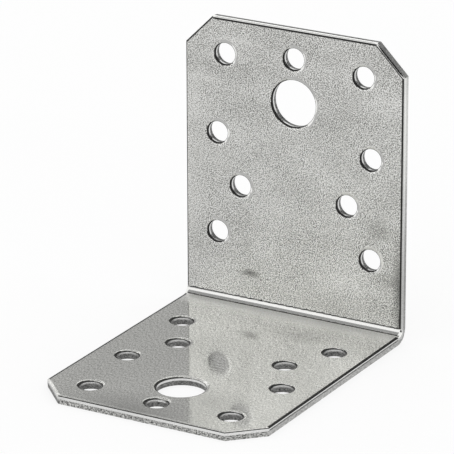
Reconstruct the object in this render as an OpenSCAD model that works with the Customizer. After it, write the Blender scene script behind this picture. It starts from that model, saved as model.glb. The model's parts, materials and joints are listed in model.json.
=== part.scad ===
// Perforated angle bracket, folded from one piece of galvanised sheet.
// The blank is punched from the face that ends up inside the fold, so every edge of it, the outline
// and the holes alike, has a soft roll on the inside face, a smooth straight band below it, and a
// rough band that leans away towards the outside face.

/* [Sheet] */
// Thickness of the sheet
sheet_t = 2; // [1.5:0.25:3]
// Width across both legs
width = 56; // [50:1:80]
// Height of the upright leg, from the outside face of the foot
upright_l = 70; // [64:1:100]
// Length of the foot, from the outside face of the upright leg
foot_l = 70; // [64:1:100]
// Inside radius of the fold
bend_r = 1.5; // [1:0.25:3]
// Length that each corner cut takes off both of its edges
corner_cut = 7; // [3:0.5:9]

/* [Bolt hole] */
// Diameter of the one large hole in each leg
bolt_d = 11; // [9:0.5:13]
// Distance from a leg's free end to the bolt hole
bolt_row = 17.5; // [16:0.5:20]

/* [Nail holes] */
// Diameter of the nail and screw holes
nail_d = 5; // [4:0.25:6]
// Distance from a leg's free end to the nail hole on the centre line
tip_row = 7; // [6:0.5:7.5]
// Distance from a leg's free end to the pair of holes at its corners
corner_row = 8.5; // [8:0.5:12]
// Distance from the centre line to each corner hole
corner_half = 17.75; // [16:0.25:20]
// Distance from a leg's free end to the first pair beside the bolt hole
first_row = 27.5; // [24:0.5:30]
// Distance from one pair to the next along the leg
row_pitch = 12; // [9:0.5:13]
// Distance from the centre line to the two pairs near the sides
side_half = 19.75; // [18:0.25:21.5]
// Distance from the centre line to the pair between them
inner_half = 13.75; // [10:0.25:17]

/* [Sheared edges] */
// Width of the roll that the punch leaves along the outline
roll_w = 0.5; // [0.3:0.05:0.7]
// Width of the roll round each hole
hole_roll_w = 0.8; // [0.4:0.05:0.9]
// Depth of both rolls at the edge
roll_d = 0.2; // [0.1:0.05:0.3]
// Height of the rough band on the outside of every edge
break_h = 1.1; // [0.4:0.1:1.4]
// Distance that the rough band leans back over its height along the outline
break_lean = 0.1; // [0.05:0.05:0.3]
// The same in the holes, which open towards the outside face
hole_break_lean = 0.2; // [0.05:0.05:0.3]

/* [Ends of the fold] */
// Height that the squeezed metal stands out of each side at the fold
upset_h = 0.25; // [0.1:0.05:0.4]

/* [Hidden] */
$fn = 96;

// Overrun of a cutter past the face that it cuts
over = 0.5;
// Distance from the outside face of a leg to the axis of the fold
axis_in = sheet_t + bend_r;
// The swelling is a ball's cap, centred a third of the way into the sheet from the inside of the fold
upset_at = bend_r + sheet_t / 3;
// It reaches as far as the two ends of the fold
upset_r = upset_at * sin(45);
upset_ball = (upset_r * upset_r + upset_h * upset_h) / (2 * upset_h);
// Places of the nail holes in a leg: distance from the centre line, distance from the free end
nail_holes = [
    [0, tip_row],
    for (side = [-1, 1]) [side * corner_half, corner_row],
    for (side = [-1, 1]) for (pair = [0 : 2])
        [side * (pair == 1 ? inner_half : side_half), first_row + pair * row_pitch]
];
galvanised = [0.72, 0.72, 0.70];

// What shearing takes away at an edge, seen along it: x is outward, y is depth below the inside face
module shear_waste(reach, roll = roll_w, lean = break_lean) {
    // The roll's arc is tangent to the inside face
    roll_r = (roll * roll + roll_d * roll_d) / (2 * roll_d);
    translate([0, -over])
        square([reach, sheet_t + 2 * over]);
    difference() {
        translate([-roll, -over])
            square([roll, over + roll_d]);
        translate([-roll, roll_r])
            circle(roll_r);
    }
    polygon([
        [0, sheet_t - break_h],
        [0, sheet_t + over],
        [-lean * (break_h + over) / break_h, sheet_t + over]
    ]);
}

// Section across the sheet with both of its side edges: x is across, y is depth
module strip_section() {
    difference() {
        translate([-width / 2, 0])
            square([width, sheet_t]);
        for (side = [0, 1])
            mirror([side, 0])
                translate([width / 2, 0])
                    shear_waste(over);
    }
}

// One punched hole through a leg whose inside face is z = 0
module punched_hole(d) {
    mirror([0, 0, 1])
        rotate_extrude()
            intersection() {
                translate([d / 2, 0])
                    mirror([1, 0])
                        shear_waste(d, hole_roll_w, hole_break_lean);
                translate([0, -over])
                    square([d, sheet_t + 2 * over]);
            }
}

// A straight cut along x, with its waste on the +y side
module shear_cut(length) {
    rotate([-90, 0, 90])
        linear_extrude(length, center = true)
            shear_waste(corner_cut);
}

// One leg up to the fold: y runs from the outside face of the other leg to the free end
module leg(length) {
    difference() {
        translate([0, axis_in, 0])
            rotate([-90, 0, 0])
                linear_extrude(length - axis_in)
                    strip_section();
        translate([0, length, 0])
            shear_cut(width + 2 * over);
        for (side = [-1, 1])
            translate([side * (width - corner_cut) / 2, length - corner_cut / 2, 0])
                rotate(-45 * side)
                    shear_cut(2 * corner_cut);
        translate([0, length - bolt_row, 0])
            punched_hole(bolt_d);
        for (hole = nail_holes)
            translate([hole[0], length - hole[1], 0])
                punched_hole(nail_d);
    }
}

// The quarter turn of sheet that joins the legs, about the x axis, with metal squeezed out of its
// sides where the inside is pressed together
module fold() {
    rotate([0, 90, 0])
        difference() {
            rotate_extrude(angle = 90)
                translate([bend_r, -width / 2 - upset_h])
                    square([sheet_t, width + 2 * upset_h]);
            for (side = [0, 1])
                mirror([0, 0, side])
                    difference() {
                        rotate_extrude()
                            translate([bend_r, width / 2])
                                mirror([1, 0])
                                    rotate(90)
                                        shear_waste(upset_h + over);
                        rotate(45)
                            translate([upset_at, 0, width / 2 + upset_h - upset_ball])
                                sphere(upset_ball);
                    }
        }
}

module bracket() {
    color(galvanised)
        translate([0, foot_l / 2, 0]) {
            translate([0, 0, sheet_t])
                rotate(180)
                    leg(foot_l);
            translate([0, -sheet_t, 0])
                rotate([90, 0, 0])
                    leg(upright_l);
            translate([0, -axis_in, axis_in])
                fold();
        }
}

bracket();
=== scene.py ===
import json
import math

import bmesh
import bpy
from mathutils import Matrix, Vector, noise


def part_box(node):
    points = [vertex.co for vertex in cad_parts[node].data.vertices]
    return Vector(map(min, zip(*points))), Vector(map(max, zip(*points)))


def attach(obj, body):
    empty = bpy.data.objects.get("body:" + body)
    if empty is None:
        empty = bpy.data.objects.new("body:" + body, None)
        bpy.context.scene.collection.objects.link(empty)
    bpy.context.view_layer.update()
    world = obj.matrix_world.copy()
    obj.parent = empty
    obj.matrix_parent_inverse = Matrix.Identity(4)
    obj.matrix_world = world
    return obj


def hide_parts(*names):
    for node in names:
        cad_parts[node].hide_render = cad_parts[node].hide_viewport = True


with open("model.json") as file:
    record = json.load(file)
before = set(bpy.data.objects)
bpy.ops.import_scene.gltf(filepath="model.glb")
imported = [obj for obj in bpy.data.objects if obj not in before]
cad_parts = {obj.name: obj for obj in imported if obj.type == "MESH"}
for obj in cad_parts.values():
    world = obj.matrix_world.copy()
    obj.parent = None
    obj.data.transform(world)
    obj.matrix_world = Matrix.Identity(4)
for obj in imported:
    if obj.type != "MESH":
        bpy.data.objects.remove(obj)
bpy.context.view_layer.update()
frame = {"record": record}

# The blank is one flat piece of 2 mm galvanised sheet steel, 56 mm wide, punched to shape in one
# stroke with its corners cut off and a bolt hole and nine nail holes in each leg. It is laid out
# flat here, as it is before it is folded: x across, y along from leg to leg, z = 0 its inside face.
MM = 0.001
SHEET_T = 2.0 * MM
WIDTH = 56.0 * MM
CORNER_CUT = 7.0 * MM
BEND_R = 1.5 * MM
ROLL_WIDTH, HOLE_ROLL_WIDTH = 0.65 * MM, 0.9 * MM
ROLL_DEPTH, HOLE_ROLL_DEPTH = 0.2 * MM, 0.3 * MM
FLAT_RIM = 0.15 * MM
BOLT_HOLE_SEGMENTS, NAIL_HOLE_SEGMENTS = 96, 64
# Only a bolt hole has a radius above this
NAIL_RADIUS_LIMIT = 4 * MM

box_low, box_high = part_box("bracket")
fold_in = SHEET_T + BEND_R
fold_length = (BEND_R + SHEET_T / 2) * math.pi / 2
foot_end = -(box_high.y - box_low.y - fold_in) - fold_length / 2
upright_end = box_high.z - box_low.z - fold_in + fold_length / 2


def place_on_blank(point, on_foot):
    """Where a point of the folded bracket lies on the flat blank."""
    if on_foot:
        return Vector((point[0], point[1] - box_high.y + fold_in - fold_length / 2, 0))
    return Vector((point[0], point[2] - box_low.z - fold_in + fold_length / 2, 0))


def punched_holes():
    """The centre on the blank and the radius of each hole, from the mounts in the frame."""
    for mount in frame["record"]["mounts"]:
        if mount["kind"] in ("bore", "bolt_pattern"):
            dims = mount["dims"]
            radius = dims.get("r_mm", dims.get("hole_r_mm")) * MM
            centre = place_on_blank(mount["pos_m"], mount["axis"][2] > 0.5)
            half_x = dims.get("spacing_x_mm", 0) / 2 * MM
            half_y = dims.get("spacing_y_mm", 0) / 2 * MM
            for x in sorted({-half_x, half_x}):
                for y in sorted({-half_y, half_y}):
                    yield centre + Vector((x, y, 0)), radius


holes = list(punched_holes())
hole_rim_out = HOLE_ROLL_WIDTH + FLAT_RIM
blank = bmesh.new()
rim_in = ROLL_WIDTH + FLAT_RIM
side = WIDTH / 2 - rim_in
cut_in = CORNER_CUT + (math.sqrt(2) - 1) * rim_in
cut_side = WIDTH / 2 - cut_in
corners = []
corner_cuts = (
    (1, foot_end, 1),
    (1, upright_end, -1),
    (-1, upright_end, -1),
    (-1, foot_end, 1),
)
for x_sign, end, inward in corner_cuts:
    pair = [(x_sign * cut_side, end + inward * rim_in), (x_sign * side, end + inward * cut_in)]
    corners += pair if x_sign == inward else pair[::-1]
rim = [blank.verts.new((*corner, 0)) for corner in corners]
for one, two in zip(rim, rim[1:] + rim[:1]):
    blank.edges.new((one, two))
for centre, radius in holes:
    bmesh.ops.create_circle(
        blank,
        segments=BOLT_HOLE_SEGMENTS if radius > NAIL_RADIUS_LIMIT else NAIL_HOLE_SEGMENTS,
        radius=radius + hole_rim_out,
        matrix=Matrix.Translation(centre),
    )
bmesh.ops.triangle_fill(
    blank, use_beauty=True, use_dissolve=False, edges=blank.edges[:], normal=(0, 0, 1)
)

# Cuts across the sheet give the fold and the faces enough edges to bend along
GRID = 2.0 * MM
FOLD_STEPS = 20
FINE_STEPS_PAST_FOLD = 4


def cut_along(normal, places):
    for place in places:
        bmesh.ops.bisect_plane(
            blank,
            geom=blank.verts[:] + blank.edges[:] + blank.faces[:],
            dist=1e-7,
            plane_co=Vector(normal) * place,
            plane_no=normal,
        )


fine_reach = FOLD_STEPS // 2 + FINE_STEPS_PAST_FOLD
steps = range(-fine_reach, fine_reach + 1)
cut_along((0, 1, 0), [step * fold_length / FOLD_STEPS for step in steps])
FIRST_ROW = 3
for end in (foot_end, upright_end):
    rows = int(abs(end) / GRID)
    cut_along((0, 1, 0), [end * row / rows for row in range(FIRST_ROW, rows)])
columns = int(WIDTH / GRID / 2)
cut_along((1, 0, 0), [column * GRID for column in range(-columns, columns + 1)])
bmesh.ops.remove_doubles(blank, verts=blank.verts[:], dist=1e-6)

# The punch comes from the inside face. It leaves a soft roll there, a straight band that it has
# burnished, and below it a rough grey band where the sheet broke away. The tool cut some edges
# clean and tore others, so each edge has its own finishes from the roll down. The near black finish
# on the rolls is painted shade and painted dark reflection, not a finish of the metal.
BREAK_HEIGHT = 1.2 * MM
BREAK_LEAN, HOLE_BREAK_LEAN = 0.1 * MM, 0.2 * MM
ROLL_STEPS = 8
BREAK_STEPS = 5
UPPER_WALL = 0.25 * MM
SKIN, PAINTED_SHADE, BURNISHED, BROKEN, PRESSED_AND_HIGHLIGHT, TORN, DULL = range(7)


def sheared_profile(size, roll, dark, wall, broken):
    """Steps down a sheared edge: how far out from the flat, how deep, and the finish of that step.

    The roll is painted near black, as painted shade and dark reflection, between the two steps in
    dark. The wall has one finish for its upper part and one for the rest, and the last step closes
    the outside face up to the edge.
    """
    width, depth, lean = size
    radius = (width**2 + depth**2) / (2 * depth)
    yield FLAT_RIM, 0, SKIN
    for step in range(1, ROLL_STEPS + 1):
        angle = math.asin(width / radius) * step / ROLL_STEPS
        finish = PAINTED_SHADE if dark[0] <= step <= dark[1] else roll
        yield FLAT_RIM + radius * math.sin(angle), radius * (1 - math.cos(angle)), finish
    yield FLAT_RIM + width, depth + UPPER_WALL, wall[0]
    yield FLAT_RIM + width, SHEET_T - BREAK_HEIGHT, wall[1]
    for step in range(1, BREAK_STEPS + 1):
        share = step / BREAK_STEPS
        yield FLAT_RIM + width - lean * share, SHEET_T - BREAK_HEIGHT * (1 - share), broken
    yield 0, SHEET_T, SKIN


outline = (ROLL_WIDTH, ROLL_DEPTH, BREAK_LEAN)
hole = (HOLE_ROLL_WIDTH, HOLE_ROLL_DEPTH, HOLE_BREAK_LEAN)
whole_roll = (1, ROLL_STEPS)
no_dark = (ROLL_STEPS + 1, ROLL_STEPS + 1)
bright_wall = (BURNISHED, BURNISHED)
half_wall = (BURNISHED, DULL)
dark_wall = (TORN, TORN)
# Per edge, the steps in dark are painted shade and dark reflection, and the pressed finish on some
# rolls and walls is smooth zinc painted bright as a highlight
TOP_EDGE = list(sheared_profile(outline, PRESSED_AND_HIGHLIGHT, (1, 5), (PRESSED_AND_HIGHLIGHT, PRESSED_AND_HIGHLIGHT), TORN))
TOP_RIGHT_CUT = list(sheared_profile(outline, PRESSED_AND_HIGHLIGHT, (1, 3), bright_wall, DULL))
TOP_LEFT_CUT = list(sheared_profile(outline, SKIN, (4, 8), bright_wall, BROKEN))
UPRIGHT_RIGHT = list(sheared_profile(outline, BURNISHED, (1, 5), bright_wall, DULL))
UPRIGHT_LEFT = list(sheared_profile(outline, SKIN, (5, ROLL_STEPS), dark_wall, TORN))
FOOT_LEFT = list(sheared_profile(outline, SKIN, whole_roll, dark_wall, TORN))
FOOT_RIGHT = list(sheared_profile(outline, SKIN, whole_roll, (BURNISHED, TORN), DULL))
FOOT_FRONT = list(sheared_profile(outline, SKIN, (6, ROLL_STEPS), bright_wall, BROKEN))
FRONT_LEFT_CUT = list(sheared_profile(outline, SKIN, no_dark, bright_wall, TORN))
FOLD_END = list(sheared_profile(outline, PRESSED_AND_HIGHLIGHT, no_dark, bright_wall, DULL))
# The painted shade on a hole's roll gets wider and narrower round it, widest on the hole's left
# side. These are listed by the step of the roll that it starts at. On the upright's holes, where it
# is thin, the rest of the roll is pressed zinc painted bright as a painted highlight.
first_steps = range(ROLL_STEPS + 2)
UPRIGHT_HOLE = [
    list(sheared_profile(hole, roll, (step, ROLL_STEPS), bright_wall, TORN))
    for step, roll in enumerate([SKIN] * ROLL_STEPS + [PRESSED_AND_HIGHLIGHT] * 2)
]
FOOT_BOLT_HOLE = [
    list(sheared_profile(hole, SKIN, (step, ROLL_STEPS), bright_wall, TORN)) for step in first_steps
]
FOOT_NAIL_HOLE = [
    list(sheared_profile(hole, SKIN, (step, ROLL_STEPS), half_wall, TORN)) for step in first_steps
]
# How far an edge's outward direction points across the sheet, where it is a side or an end
SIDEWAYS, ENDWAYS = 0.9, 0.3


def edge_profile(place, outward):
    """The profile of the sheared edge at a place on the blank, by the way that the edge faces."""
    on_upright = place.y > 0
    for centre, radius in holes:
        if (place - centre).length < radius + 2 * HOLE_ROLL_WIDTH:
            if on_upright:
                return UPRIGHT_HOLE[round(7 - 2.4 * max(outward.x + 0.5 * outward.y, -0.4))]
            if radius > NAIL_RADIUS_LIMIT:
                return FOOT_BOLT_HOLE[round(8 - 4 * max(outward.x, 0))]
            return FOOT_NAIL_HOLE[round(7 - 3 * max(outward.x, 0) - max(-outward.x, 0))]
    if abs(place.y) < fold_length / 2:
        return FOLD_END
    if abs(outward.x) > SIDEWAYS:
        if outward.x < 0:
            return UPRIGHT_LEFT if on_upright else FOOT_LEFT
        return UPRIGHT_RIGHT if on_upright else FOOT_RIGHT
    if on_upright:
        if abs(outward.x) < ENDWAYS:
            return TOP_EDGE
        return TOP_RIGHT_CUT if outward.x > 0 else TOP_LEFT_CUT
    return FRONT_LEFT_CUT if outward.x < -ENDWAYS else FOOT_FRONT


edge_loop = [edge for edge in blank.edges if edge.is_boundary]
outward = {}
for edge in edge_loop:
    loop = edge.link_loops[0]
    along = (loop.link_loop_next.vert.co - loop.vert.co).normalized()
    for vert in edge.verts:
        outward.setdefault(vert, []).append(Vector((along.y, -along.x, 0)))
start = {}
kind = {}
for vert, (one, two) in outward.items():
    outward[vert] = (one + two) / (1 + one.dot(two))
    # Round a hole every place moves straight to the centre, so that none crosses its neighbour
    for centre, radius in holes:
        rim_radius = radius + hole_rim_out
        if (vert.co - centre).length < rim_radius + FLAT_RIM:
            outward[vert] = (centre - vert.co) / rim_radius
    start[vert] = vert.co.copy()
    kind[vert] = edge_profile(vert.co, one)
outside = bmesh.ops.duplicate(blank, geom=blank.verts[:] + blank.edges[:] + blank.faces[:])
outside_faces = [item for item in outside["geom"] if isinstance(item, bmesh.types.BMFace)]
outside_verts = [item for item in outside["geom"] if isinstance(item, bmesh.types.BMVert)]
bmesh.ops.reverse_faces(blank, faces=outside_faces)
bmesh.ops.translate(blank, verts=outside_verts, vec=(0, 0, -SHEET_T))
for step in range(len(TOP_EDGE)):
    upper = {vert for edge in edge_loop for vert in edge.verts}
    made = bmesh.ops.extrude_edge_only(blank, edges=edge_loop)["geom"]
    for vert in (item for item in made if isinstance(item, bmesh.types.BMVert)):
        above = next(
            edge.other_vert(vert) for edge in vert.link_edges if edge.other_vert(vert) in upper
        )
        outward[vert], start[vert], kind[vert] = outward[above], start[above], kind[above]
        out, depth, finish = kind[vert][step]
        vert.co = start[vert] + outward[vert] * out - Vector((0, 0, depth))
    for face in (item for item in made if isinstance(item, bmesh.types.BMFace)):
        face.material_index = kind[face.verts[0]][step][2]
    edge_loop = [
        item for item in made if isinstance(item, bmesh.types.BMEdge) and item.is_boundary
    ]
bmesh.ops.remove_doubles(blank, verts=blank.verts[:], dist=1e-6)
bmesh.ops.triangulate(blank, faces=blank.faces[:])

# The blank is folded to a right angle across its middle. That presses the inside of the fold
# together, so a little metal swells out of both sides there, and the faces are left faintly wavy.
SWELL = 0.25 * MM
WAVE = 0.02 * MM
WAVE_LENGTH = 16 * MM
# The swelling's middle lies this far behind and below the axis of the fold, and it reaches as far
swell_reach = (BEND_R + SHEET_T / 3) * math.sin(math.radians(45))


def folded(point):
    """Where a point of the flat blank comes to lie when the sheet is folded."""
    across, along, depth = point.x, point.y, -point.z
    depth += WAVE * noise.noise(Vector((across, along, 0)) / WAVE_LENGTH)
    turn = math.radians(90) * min(max(along / fold_length + 0.5, 0), 1)
    spare = max(abs(along) - fold_length / 2, 0)
    reach = BEND_R + depth
    back = reach * math.sin(turn) - (spare if along < 0 else 0)
    down = reach * math.cos(turn) - (spare if along > 0 else 0)
    away = math.hypot(back - swell_reach, down - swell_reach) / swell_reach
    if away < 1:
        edge = max(abs(across) - side, 0) / rim_in
        across += math.copysign(SWELL * (1 - away**2) * min(edge, 1), across)
    return Vector((across, box_high.y - fold_in + back, box_low.z + fold_in - down))


# Inside the fold: how far round it each finish reaches, as shares of it from the upright's side.
# The two dark bands are painted shade in the crease, and the pressed band between them is a painted
# highlight
FOLD_FINISHES_AND_SHADE = ((-0.02, SKIN), (0.08, PAINTED_SHADE), (0.68, PRESSED_AND_HIGHLIGHT), (0.8, PAINTED_SHADE))
for face in blank.faces:
    middle = face.calc_center_median()
    share = 0.5 - middle.y / fold_length
    if face.material_index == SKIN and middle.z > -SHEET_T / 2:
        for reach, finish in FOLD_FINISHES_AND_SHADE:
            if share < reach:
                face.material_index = finish
                break
for vert in blank.verts:
    vert.co = folded(vert.co)
bmesh.ops.recalc_face_normals(blank, faces=blank.faces[:])
sheet_mesh = bpy.data.meshes.new("bracket_sheet")
for face in blank.faces:
    face.smooth = True
blank.to_mesh(sheet_mesh)
blank.free()
SHARP_ANGLE = math.radians(32)
sheet_mesh.set_sharp_from_angle(angle=SHARP_ANGLE)
sheet = bpy.data.objects.new("bracket_sheet", sheet_mesh)
bpy.context.scene.collection.objects.link(sheet)
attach(sheet, "root")
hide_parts("bracket")

# The sheet was galvanised before it was punched. Its skin is matt pale zinc with a fine crystal
# grain and soft smudges. The edges are bare steel, burnished where the punch slid, torn below. The
# rolls and the creases in the fold are painted near black as painted shade and dark reflection, and
# the zinc pressed smooth inside the fold is painted bright as a painted highlight.


def principled(name, colour, metallic, roughness):
    material = bpy.data.materials.new(name)
    material.use_nodes = True
    shader = material.node_tree.nodes["Principled BSDF"]
    shader.inputs["Base Color"].default_value = (*colour, 1)
    shader.inputs["Metallic"].default_value = metallic
    shader.inputs["Roughness"].default_value = roughness
    return material, material.node_tree, shader


# The grain is finest where a face lies on a plane of the noise, so its size and this shift keep
# the inside faces of both legs on one
GRAIN_SHIFT = (0, 0, 0.1 * MM)
GRAIN_STRETCH = (1.1, 0.4, 1.3)
SMUDGE_SCALE, SMUDGE_STRETCH = 90, (0.7, 0.4, 1.4)


def make_grain_group():
    """Fine crystal grain and broad smudges: a tone near 1 to multiply a colour by, and a height.

    Both are weaker on the foot, by the factor On Foot.
    """
    group = bpy.data.node_groups.new("metal_grain", "ShaderNodeTree")
    inputs = (("Grain Size", 0.3 * MM), ("Speckle", 0.1), ("Smudge", 0.05), ("On Foot", 1.0))
    for name, value in inputs:
        socket = group.interface.new_socket(name, in_out="INPUT", socket_type="NodeSocketFloat")
        socket.default_value = value
    for name in ("Tone", "Height"):
        group.interface.new_socket(name, in_out="OUTPUT", socket_type="NodeSocketFloat")
    nodes, links = group.nodes, group.links
    given, result = nodes.new("NodeGroupInput"), nodes.new("NodeGroupOutput")
    place = nodes.new("ShaderNodeTexCoord")

    def calc(operation, one, two):
        node = nodes.new("ShaderNodeMath")
        node.operation = operation
        for socket, value in zip(node.inputs, (one, two)):
            if isinstance(value, (int, float)):
                socket.default_value = value
            else:
                links.new(value, socket)
        return node.outputs[0]

    def centred_noise(scale, detail, falloff, stretch):
        mapping = nodes.new("ShaderNodeMapping")
        mapping.inputs["Scale"].default_value = stretch
        mapping.inputs["Location"].default_value = GRAIN_SHIFT
        links.new(place.outputs["Object"], mapping.inputs["Vector"])
        texture = nodes.new("ShaderNodeTexNoise")
        links.new(mapping.outputs[0], texture.inputs["Vector"])
        texture.inputs["Detail"].default_value = detail
        texture.inputs["Roughness"].default_value = falloff
        if isinstance(scale, (int, float)):
            texture.inputs["Scale"].default_value = scale
        else:
            links.new(scale, texture.inputs["Scale"])
        return calc("SUBTRACT", texture.outputs["Fac"], 0.5)

    fine = centred_noise(calc("DIVIDE", 1, given.outputs["Grain Size"]), 1.5, 0.6, GRAIN_STRETCH)
    axes = nodes.new("ShaderNodeSeparateXYZ")
    links.new(place.outputs["Object"], axes.inputs[0])
    rise = nodes.new("ShaderNodeMapRange")
    links.new(axes.outputs["Z"], rise.inputs["Value"])
    rise.inputs["From Min"].default_value = 2.2 * MM
    rise.inputs["From Max"].default_value = 4 * MM
    links.new(given.outputs["On Foot"], rise.inputs["To Min"])
    fine = calc("MULTIPLY", fine, rise.outputs["Result"])
    broad = centred_noise(SMUDGE_SCALE, 3, 0.5, SMUDGE_STRETCH)
    broad = calc("MULTIPLY", broad, rise.outputs["Result"])
    speckle = calc("MULTIPLY", fine, given.outputs["Speckle"])
    smudge = calc("MULTIPLY", broad, given.outputs["Smudge"])
    tone = calc("ADD", calc("ADD", speckle, smudge), 1)
    links.new(tone, result.inputs["Tone"])
    links.new(fine, result.inputs["Height"])
    return group


grain_group = make_grain_group()


def add_grain(tree, shader, size, speckle, smudge, depth, on_foot=1):
    nodes, links = tree.nodes, tree.links
    grain = nodes.new("ShaderNodeGroup")
    grain.node_tree = grain_group
    grain.inputs["Grain Size"].default_value = size
    grain.inputs["Speckle"].default_value = speckle
    grain.inputs["Smudge"].default_value = smudge
    grain.inputs["On Foot"].default_value = on_foot
    tint = nodes.new("ShaderNodeMix")
    tint.data_type, tint.blend_type = "RGBA", "MULTIPLY"
    tint.inputs["Factor"].default_value = 1
    tint.inputs[6].default_value = shader.inputs["Base Color"].default_value
    links.new(grain.outputs["Tone"], tint.inputs[7])
    links.new(tint.outputs[2], shader.inputs["Base Color"])
    bump = nodes.new("ShaderNodeBump")
    bump.inputs["Distance"].default_value = depth
    links.new(grain.outputs["Height"], bump.inputs["Height"])
    links.new(bump.outputs["Normal"], shader.inputs["Normal"])


zinc, tree, shader = principled("zinc_skin", (0.765, 0.765, 0.733), metallic=0.75, roughness=0.4)
add_grain(tree, shader, size=0.27 * MM, speckle=6.2, smudge=0.7, depth=0.004 * MM, on_foot=0.34)
# Matt where it is seen square on, glossy at a slant
slant = tree.nodes.new("ShaderNodeLayerWeight")
gloss = tree.nodes.new("ShaderNodeMapRange")
gloss.inputs["From Min"].default_value = 0.3
gloss.inputs["From Max"].default_value = 0.62
gloss.inputs["To Min"].default_value = 0.42
gloss.inputs["To Max"].default_value = 0.08
tree.links.new(slant.outputs["Facing"], gloss.inputs["Value"])
# The fold has dulled the foot next to it
place = tree.nodes.new("ShaderNodeTexCoord")
axes = tree.nodes.new("ShaderNodeSeparateXYZ")
tree.links.new(place.outputs["Object"], axes.inputs[0])
dulled = tree.nodes.new("ShaderNodeMapRange")
dulled.inputs["From Min"].default_value = 24 * MM
dulled.inputs["From Max"].default_value = 28 * MM
dulled.inputs["To Max"].default_value = 0.3
tree.links.new(axes.outputs["Y"], dulled.inputs["Value"])
rougher = tree.nodes.new("ShaderNodeMath")
rougher.operation = "MAXIMUM"
tree.links.new(gloss.outputs["Result"], rougher.inputs[0])
tree.links.new(dulled.outputs["Result"], rougher.inputs[1])
tree.links.new(rougher.outputs[0], shader.inputs["Roughness"])
# Marks on the skin: centre and half sizes across, along and up in mm, tone and strength. There is
# painted shade along the bottom of the upright and painted dark reflection low on its right side,
# darker spots low on its left, pale streaks up its left side, darker patches on the foot, and a
# painted highlight on the foot along the fold.
MARK_BLUE = 0.96
SKIN_MARKS_AND_PAINTED_LIGHT = (
    ((-11.3, 33, 9.7), (3.6, 1.5, 1.3), 0.12, 0.9),
    ((-12.1, 33, 16.4), (2.0, 1.5, 4.0), 0.12, 0.25),
    # Painted dark reflection and shade low on the upright's right side
    ((22.3, 33, 26.2), (4.5, 1.5, 3.0), 0.12, 0.36),
    ((27.2, 33, 13.0), (2.2, 1.5, 16.0), 0.12, 0.8),
    ((24.5, 33, 14.5), (5.5, 1.5, 2.2), 0.12, 0.4),
    ((27.7, 33, 4.8), (1.0, 1.5, 2.8), 0.04, 1.2),
    # Painted shade along the bottom of the upright, just above the fold
    ((8, 33, 5), (28, 1.5, 6), 0.3, 0.42),
    ((-27, 33, 30), (5, 1.5, 45), 1.0, 0.3),
    ((-19, 33, 61), (9, 1.5, 1.6), 1.1, 0.45),
    ((-14, 33, 65), (8, 1.5, 1.0), 1.1, 0.35),
    ((-23, 33, 55), (6, 1.5, 1.4), 1.1, 0.35),
    ((-21, 33, 36), (8, 1.5, 6), 1.0, 0.25),
    # Painted highlight on the foot along the fold
    ((0, 30.5, 2), (200, 4.5, 1.2), 1.3, 0.5),
    ((8, 21.5, 2), (9, 5, 1.2), 0.25, 0.4),
    ((9, -22, 2), (13, 9, 1.2), 0.35, 0.4),
    ((-2, -35, 2), (24, 11, 1.2), 0.35, 0.75),
)


def make_mark_group():
    """A soft mark, used for smudges, painted shade and painted highlights: its own colour in the
    middle, fading to the colour given at its rim.
    """
    group = bpy.data.node_groups.new("soft_mark", "ShaderNodeTree")
    inputs = (
        ("Colour", "NodeSocketColor"),
        ("Mark Colour", "NodeSocketColor"),
        ("Middle", "NodeSocketVector"),
        ("Half Sizes", "NodeSocketVector"),
        ("Strength", "NodeSocketFloat"),
    )
    for name, socket_type in inputs:
        group.interface.new_socket(name, in_out="INPUT", socket_type=socket_type)
    group.interface.new_socket("Colour", in_out="OUTPUT", socket_type="NodeSocketColor")
    nodes, links = group.nodes, group.links
    given, result = nodes.new("NodeGroupInput"), nodes.new("NodeGroupOutput")
    place = nodes.new("ShaderNodeTexCoord")
    spot = nodes.new("ShaderNodeMapping")
    spot.vector_type = "TEXTURE"
    links.new(place.outputs["Object"], spot.inputs["Vector"])
    links.new(given.outputs["Middle"], spot.inputs["Location"])
    links.new(given.outputs["Half Sizes"], spot.inputs["Scale"])
    fade = nodes.new("ShaderNodeTexGradient")
    fade.gradient_type = "SPHERICAL"
    links.new(spot.outputs[0], fade.inputs["Vector"])
    amount = nodes.new("ShaderNodeMath")
    amount.operation = "MULTIPLY"
    links.new(fade.outputs["Fac"], amount.inputs[0])
    links.new(given.outputs["Strength"], amount.inputs[1])
    marked = nodes.new("ShaderNodeMix")
    marked.data_type = "RGBA"
    links.new(amount.outputs[0], marked.inputs["Factor"])
    links.new(given.outputs["Colour"], marked.inputs[6])
    links.new(given.outputs["Mark Colour"], marked.inputs[7])
    links.new(marked.outputs[2], result.inputs["Colour"])
    return group


mark_group = make_mark_group()


def add_marks(tree, shader, marks):
    colour = shader.inputs["Base Color"].links[0].from_socket
    for middle, half_sizes, tone, strength in marks:
        mark = tree.nodes.new("ShaderNodeGroup")
        mark.node_tree = mark_group
        mark.inputs["Mark Colour"].default_value = (tone, tone, MARK_BLUE * tone, 1)
        mark.inputs["Middle"].default_value = Vector(middle) * MM
        mark.inputs["Half Sizes"].default_value = Vector(half_sizes) * MM
        mark.inputs["Strength"].default_value = strength
        tree.links.new(colour, mark.inputs["Colour"])
        colour = mark.outputs["Colour"]
    tree.links.new(colour, shader.inputs["Base Color"])


add_marks(tree, shader, SKIN_MARKS_AND_PAINTED_LIGHT)
# The same for the bare steel of the edges: a painted reflection makes the upright's right edge
# darker below and lighter above, and the foot's front left cut is darker
EDGE_MARKS_AND_REFLECTION = (
    ((28.5, 34, 11), (4, 5, 28), 0.12, 0.55),
    ((28.5, 34, 52), (4, 5, 24), 0.95, 0.5),
    ((-24.5, -31.5, 1), (7, 7, 4), 0.12, 0.7),
)
# Painted shade: a near black colour that stands for shade and dark reflections on the rolls and in
# the fold
painted_shade = principled("painted_shade_zinc", (0.04, 0.04, 0.039), metallic=0.9, roughness=0.45)[0]
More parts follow.
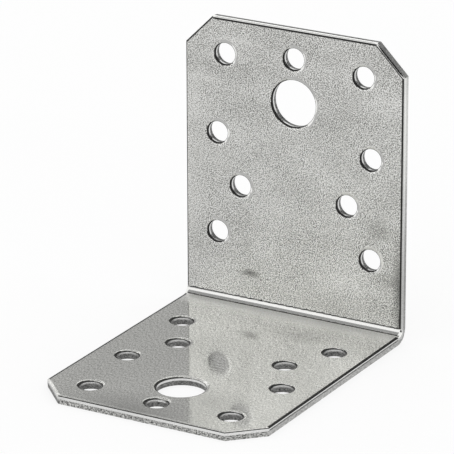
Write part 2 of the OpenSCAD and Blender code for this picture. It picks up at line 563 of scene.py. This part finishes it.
# Pressed zinc: smooth and shiny, with its colour raised as a painted highlight
pressed_and_highlight = principled("pressed_zinc_and_highlight", (0.88, 0.88, 0.86), metallic=1.0, roughness=0.12)[0]
burnished, tree, shader = principled(
    "burnished_steel", (0.72, 0.72, 0.71), metallic=0.8, roughness=0.25
)
add_grain(tree, shader, size=0.4 * MM, speckle=0.5, smudge=0.3, depth=0.004 * MM)
add_marks(tree, shader, EDGE_MARKS_AND_REFLECTION)
broken, tree, shader = principled("broken_steel", (0.38, 0.38, 0.37), metallic=0.8, roughness=0.5)
add_grain(tree, shader, size=0.38 * MM, speckle=5.0, smudge=0.3, depth=0.1 * MM)
torn, tree, shader = principled("torn_steel", (0.18, 0.18, 0.176), metallic=0.8, roughness=0.5)
add_grain(tree, shader, size=0.35 * MM, speckle=4.0, smudge=0.3, depth=0.1 * MM)
dull, tree, shader = principled("dull_steel", (0.42, 0.42, 0.41), metallic=0.8, roughness=0.4)
add_grain(tree, shader, size=0.35 * MM, speckle=2.0, smudge=0.3, depth=0.02 * MM)
add_marks(tree, shader, EDGE_MARKS_AND_REFLECTION)
# In the order of the finishes' numbers
for finish in (zinc, painted_shade, burnished, broken, pressed_and_highlight, torn, dull):
    sheet_mesh.materials.append(finish)

# The camera stands to the front right of the bracket and above it, with a long lens, as the
# photograph's did. Its angles, distance and lens were fitted to the corners and the holes.
AZIMUTH, ELEVATION, ROLL = math.radians(29.894), math.radians(20.266), math.radians(-0.163)
DISTANCE = 910.6 * MM
LENS, SENSOR = 322.3, 36
TARGET = Vector((-7.02, 15.0, 27.53)) * MM
back = Vector((
    math.sin(AZIMUTH) * math.cos(ELEVATION),
    -math.cos(AZIMUTH) * math.cos(ELEVATION),
    math.sin(ELEVATION),
))
camera = bpy.data.objects.new("camera", bpy.data.cameras.new("camera"))
camera.data.sensor_width = SENSOR
camera.data.lens = LENS
camera.data.clip_start, camera.data.clip_end = 0.01, 10
camera.location = TARGET + back * DISTANCE
aim = (-back).to_track_quat("-Z", "Y").to_matrix()
camera.rotation_euler = (aim @ Matrix.Rotation(ROLL, 3, "Z")).to_euler()
bpy.context.scene.collection.objects.link(camera)
bpy.context.scene.camera = camera

# The studio is a pale floor in even white light. Grey and dark cards stand round the bracket for
# its metal to mirror. They are seen only in reflections and cast no shadow.


def flat_panel(name, width, length, place, look_at, material):
    """A flat card of the studio, facing a point."""
    panel = bmesh.new()
    bmesh.ops.create_grid(panel, x_segments=1, y_segments=1, size=0.5)
    turn = (Vector(look_at) - Vector(place)).to_track_quat("Z", "Y").to_matrix().to_4x4()
    bmesh.ops.transform(
        panel,
        matrix=Matrix.Translation(place) @ turn @ Matrix.Diagonal((width, length, 1, 1)),
        verts=panel.verts[:],
    )
    mesh = bpy.data.meshes.new(name)
    panel.to_mesh(mesh)
    panel.free()
    mesh.materials.append(material)
    card = bpy.data.objects.new(name, mesh)
    bpy.context.scene.collection.objects.link(card)
    return card


def card_grey(name, level):
    """A plain grey card that is seen from its front only."""
    material = bpy.data.materials.new(name)
    material.use_nodes = True
    tree = material.node_tree
    tree.nodes.clear()
    glow = tree.nodes.new("ShaderNodeEmission")
    glow.inputs["Color"].default_value = (level, level, level, 1)
    clear = tree.nodes.new("ShaderNodeBsdfTransparent")
    sides = tree.nodes.new("ShaderNodeNewGeometry")
    either = tree.nodes.new("ShaderNodeMixShader")
    tree.links.new(sides.outputs["Backfacing"], either.inputs[0])
    tree.links.new(glow.outputs[0], either.inputs[1])
    tree.links.new(clear.outputs[0], either.inputs[2])
    out = tree.nodes.new("ShaderNodeOutputMaterial")
    tree.links.new(either.outputs[0], out.inputs["Surface"])
    return material


# Camera, mirrors and glass see the floor nearly white. The rest is paint, which keeps the shadow
FLOOR_WHITENESS = 0.8
floor_paint, tree, shader = principled("floor_paint", (0.95, 0.95, 0.95), metallic=0, roughness=0.9)
path = tree.nodes.new("ShaderNodeLightPath")
shown = None
for ray in ("Is Camera Ray", "Is Glossy Ray", "Is Transmission Ray"):
    if shown is None:
        shown = path.outputs[ray]
        continue
    either = tree.nodes.new("ShaderNodeMath")
    either.operation = "MAXIMUM"
    tree.links.new(shown, either.inputs[0])
    tree.links.new(path.outputs[ray], either.inputs[1])
    shown = either.outputs[0]
share = tree.nodes.new("ShaderNodeMath")
share.operation = "MULTIPLY"
share.inputs[1].default_value = FLOOR_WHITENESS
tree.links.new(shown, share.inputs[0])
white = tree.nodes.new("ShaderNodeEmission")
white.inputs["Color"].default_value = (1, 1, 1, 1)
mixed = tree.nodes.new("ShaderNodeMixShader")
tree.links.new(share.outputs[0], mixed.inputs[0])
tree.links.new(shader.outputs[0], mixed.inputs[1])
tree.links.new(white.outputs[0], mixed.inputs[2])
tree.links.new(mixed.outputs[0], tree.nodes["Material Output"].inputs["Surface"])
flat_panel("floor", 6, 6, (0, 0, 0), (0, 0, 1), floor_paint)
for name, level, size, place, look_at in (
    ("flag_behind", 0.33, (0.15, 0.09), (-0.095, 0.13, 0.046), (-0.095, 0, 0.046)),
    ("light_behind", 1.2, (0.12, 0.05), (-0.055, 0.13, 0.122), (-0.055, 0, 0.122)),
    ("flag_above", 0.33, (0.25, 0.52), (-0.26, -0.14, 0.40), (-0.26, -0.14, 0)),
    ("grey_in_front", 0.5, (0.60, 0.40), (-0.19, -0.245, 0.001), (-0.19, -0.245, 1)),
    ("grey_beside", 0.5, (0.06, 0.08), (-0.06, -0.005, 0.001), (-0.06, -0.005, 1)),
    ("dark_round_camera", 0.01, (0.60, 0.60), (0.20, -1.0, 0.37), (0, 0, 0.03)),
    ("dark_behind", 0.02, (0.45, 0.28), (0.125, 0.45, 0.29), (0, 0.03, 0.05)),
    ("dark_above_behind", 0.03, (0.22, 0.30), (-0.26, 0.34, 0.40), (-0.26, 0.34, 0)),
):
    flag = flat_panel(name, *size, place, look_at, card_grey(name, level))
    flag.visible_camera = False
    flag.visible_diffuse = False
    flag.visible_shadow = False

world = bpy.data.worlds.new("studio")
world.use_nodes = True
bpy.context.scene.world = world
world.node_tree.nodes["Background"].inputs["Color"].default_value = (1, 1, 1, 1)
world.node_tree.nodes["Background"].inputs["Strength"].default_value = 1.0
bpy.context.scene.view_settings.view_transform = "Standard"
